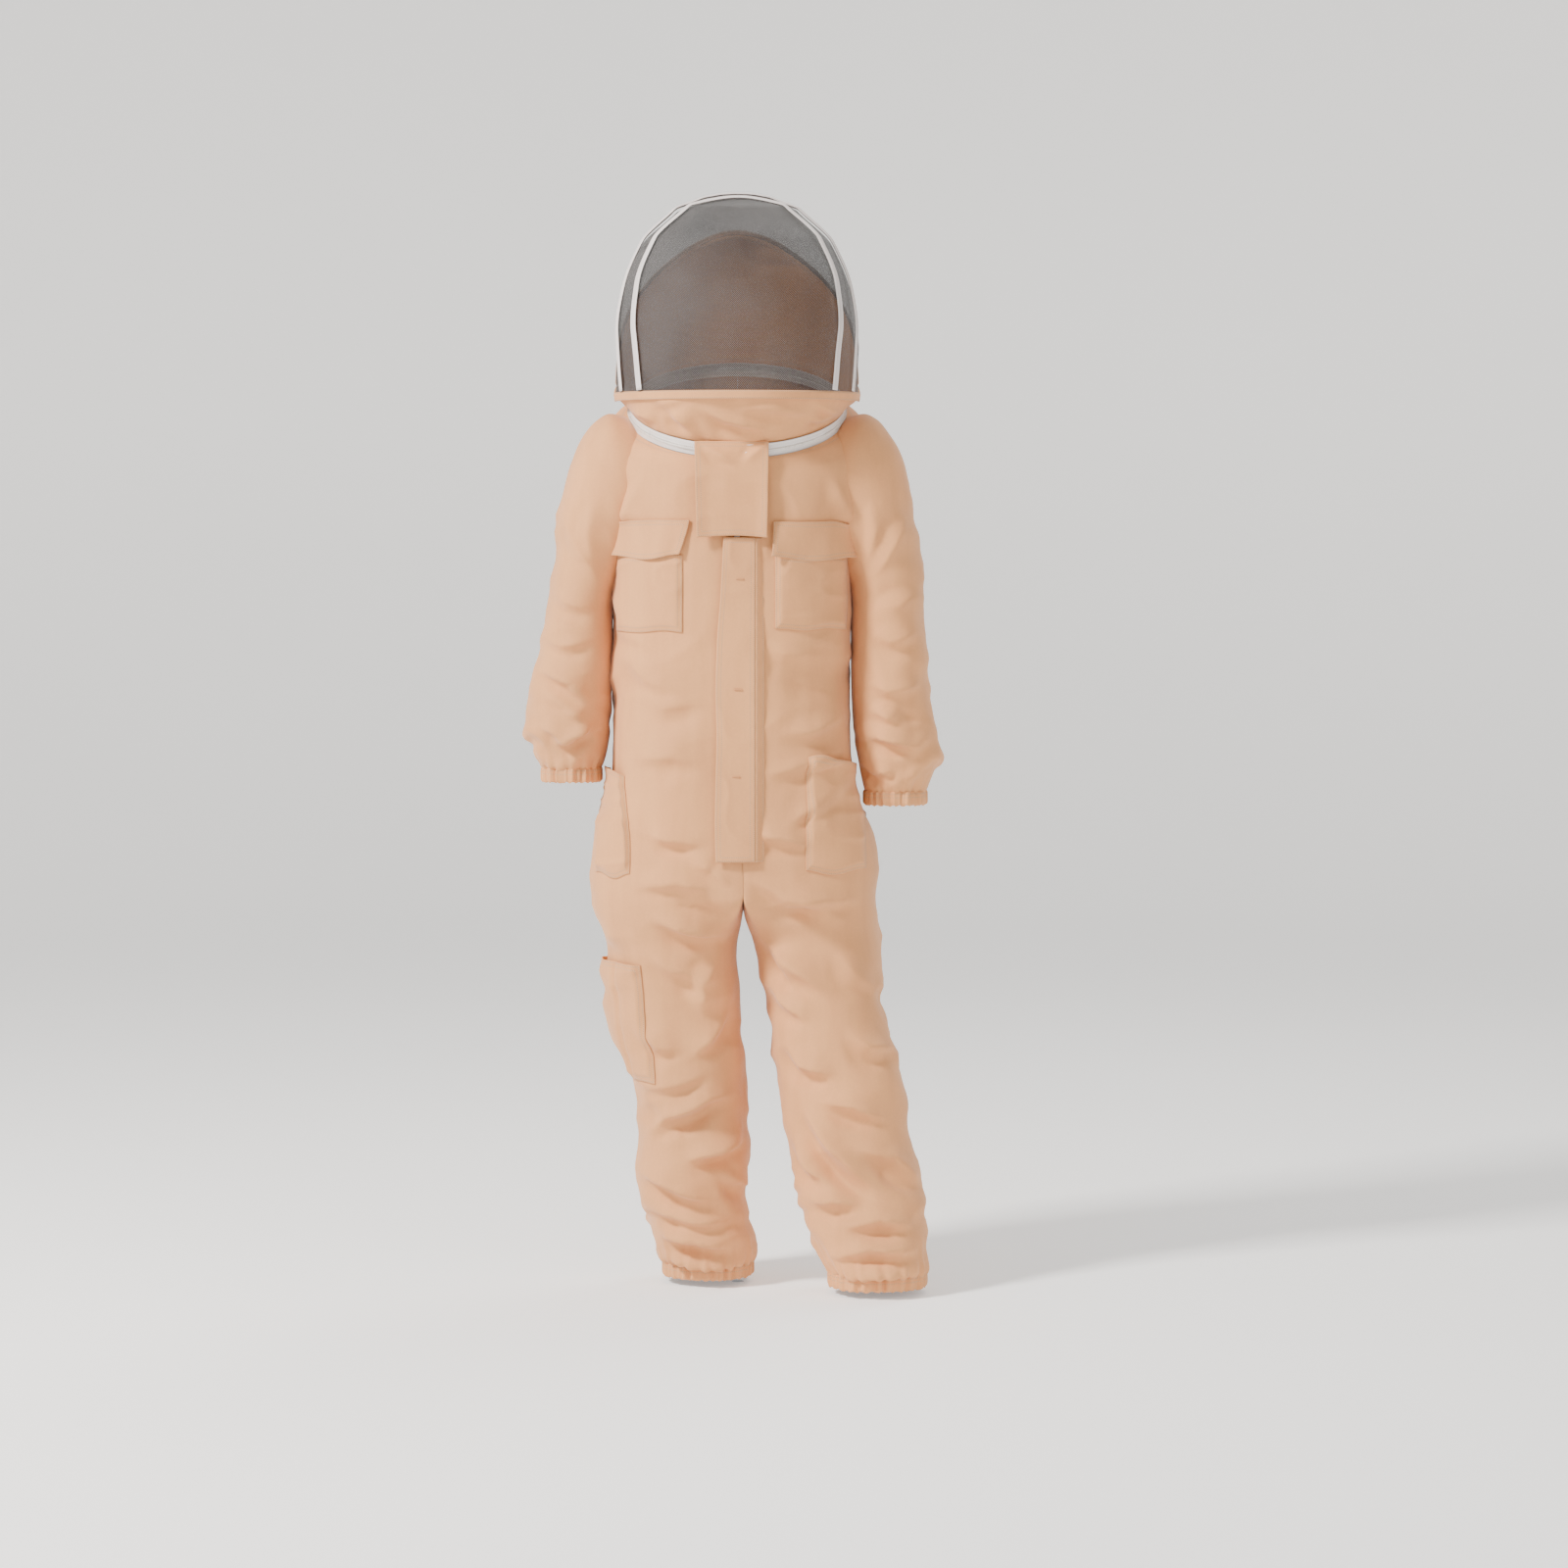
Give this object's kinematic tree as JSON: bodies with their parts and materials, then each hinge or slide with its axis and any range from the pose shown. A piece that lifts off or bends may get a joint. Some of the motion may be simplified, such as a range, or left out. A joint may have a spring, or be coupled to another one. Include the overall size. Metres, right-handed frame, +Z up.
{
  "type": "beekeeping suit",
  "caption": "One-piece tan twill coverall with a hooped mesh hood zipped to its neck, a front zip under a placket, flap pockets and elastic cuffs and hems.",
  "frame": {"origin": "centre of the shoulder line, on the axis of the tilted neck zip", "axes": "+Z up along the body, -Y out of the suit's front, +X to the wearer's left"},
  "size_m": [0.629, 0.3716, 1.6738],
  "materials": {
    "twill": "tan poly-cotton twill, matt with a faint sheen",
    "white_tape": "white woven tape",
    "zip_plastic": "moulded white plastic",
    "elastic": "off-white braided elastic",
    "hook_and_loop": "tan hook-and-loop pile",
    "netting": "black knitted net"
  },
  "bodies": {
    "root": {"back_panel": "twill", "front_panel_left": "twill", "front_panel_right": "twill", "main_zip_tape_left": "white_tape", "main_zip_tape_right": "white_tape", "main_zip_chain": "zip_plastic", "placket_seam": "twill", "chest_pocket_left": "twill", "chest_pocket_right": "twill", "hip_pocket_left": "twill", "hip_pocket_right": "twill", "neck_zip_lower_tape": "white_tape", "tab_loop_pad_left": "hook_and_loop", "tab_loop_pad_right": "hook_and_loop"},
    "main_slider": {"main_zip_slider": "zip_plastic", "main_zip_pull": "zip_plastic"},
    "placket_flap": {"placket": "twill"},
    "flap_left": {"chest_flap_left": "twill"},
    "flap_right": {"chest_flap_right": "twill"},
    "neck_slider_left": {"neck_zip_slider_left": "zip_plastic"},
    "neck_slider_right": {"neck_zip_slider_right": "zip_plastic"},
    "arm_left": {"sleeve_left": "twill", "cuff_left": "twill", "wrist_elastic_left": "elastic"},
    "arm_right": {"sleeve_right": "twill", "cuff_right": "twill", "wrist_elastic_right": "elastic"},
    "leg_body_left": {"leg_left": "twill", "hem_left": "twill", "ankle_elastic_left": "elastic"},
    "leg_body_right": {"leg_right": "twill", "hem_right": "twill", "ankle_elastic_right": "elastic", "tool_pocket": "twill"},
    "hood": {"neck_zip_upper_tape": "white_tape", "bib": "twill", "base_hoop": "twill", "hoop_front": "white_tape", "hoop_rear": "white_tape", "veil_mesh": "netting", "hood_back_panel": "twill"},
    "tab": {"neck_tab": "twill", "tab_hook_pad_left": "hook_and_loop", "tab_hook_pad_right": "hook_and_loop"}
  },
  "joints": [
    {"name": "hood_throw_back", "type": "hinge", "parent": "root", "child": "hood", "pos_m": [0, 0.16499, 0.07041], "axis": [-1, 0, 0], "range_deg": [0, 100]},
    {"name": "neck_tab_lift", "type": "hinge", "parent": "hood", "child": "tab", "pos_m": [-0.008, -0.144, -0.054], "axis": [-1, 0, 0], "range_deg": [0, 110]},
    {"name": "placket_open", "type": "hinge", "parent": "root", "child": "placket_flap", "pos_m": [0.028, -0.1425, -0.445], "axis": [0, 0, 1], "range_deg": [0, 90]},
    {"name": "chest_flap_left_lift", "type": "hinge", "parent": "root", "child": "flap_left", "pos_m": [0.105, -0.1395, -0.172], "axis": [-1, 0, 0], "range_deg": [0, 140]},
    {"name": "chest_flap_right_lift", "type": "hinge", "parent": "root", "child": "flap_right", "pos_m": [-0.119, -0.1395, -0.172], "axis": [-1, 0, 0], "range_deg": [0, 140]},
    {"name": "main_zip_slide", "type": "slide", "parent": "root", "child": "main_slider", "axis": [0, 0, 1], "range_m": [-0.535, 0]},
    {"name": "neck_zip_slider_left_run", "type": "hinge", "parent": "root", "child": "neck_slider_left", "pos_m": [0, 0.014, 0], "axis": [0, -0.4226, 0.9063], "range_deg": [0, 150]},
    {"name": "neck_zip_slider_right_run", "type": "hinge", "parent": "root", "child": "neck_slider_right", "pos_m": [0, 0.014, 0], "axis": [0, 0.4226, -0.9063], "range_deg": [0, 150]},
    {"name": "sleeve_raise_left", "type": "hinge", "parent": "root", "child": "arm_left", "pos_m": [0.185, 0, -0.11], "axis": [0, -1, 0], "range_deg": [0, 60]},
    {"name": "sleeve_raise_right", "type": "hinge", "parent": "root", "child": "arm_right", "pos_m": [-0.185, 0, -0.11], "axis": [0, 1, 0], "range_deg": [0, 60]},
    {"name": "leg_swing_left", "type": "hinge", "parent": "root", "child": "leg_body_left", "pos_m": [0.111, 0.008, -0.73], "axis": [-1, 0, 0], "range_deg": [-15, 20]},
    {"name": "leg_swing_right", "type": "hinge", "parent": "root", "child": "leg_body_right", "pos_m": [-0.1106, 0.008, -0.73], "axis": [-1, 0, 0], "range_deg": [-15, 20]}
  ]
}
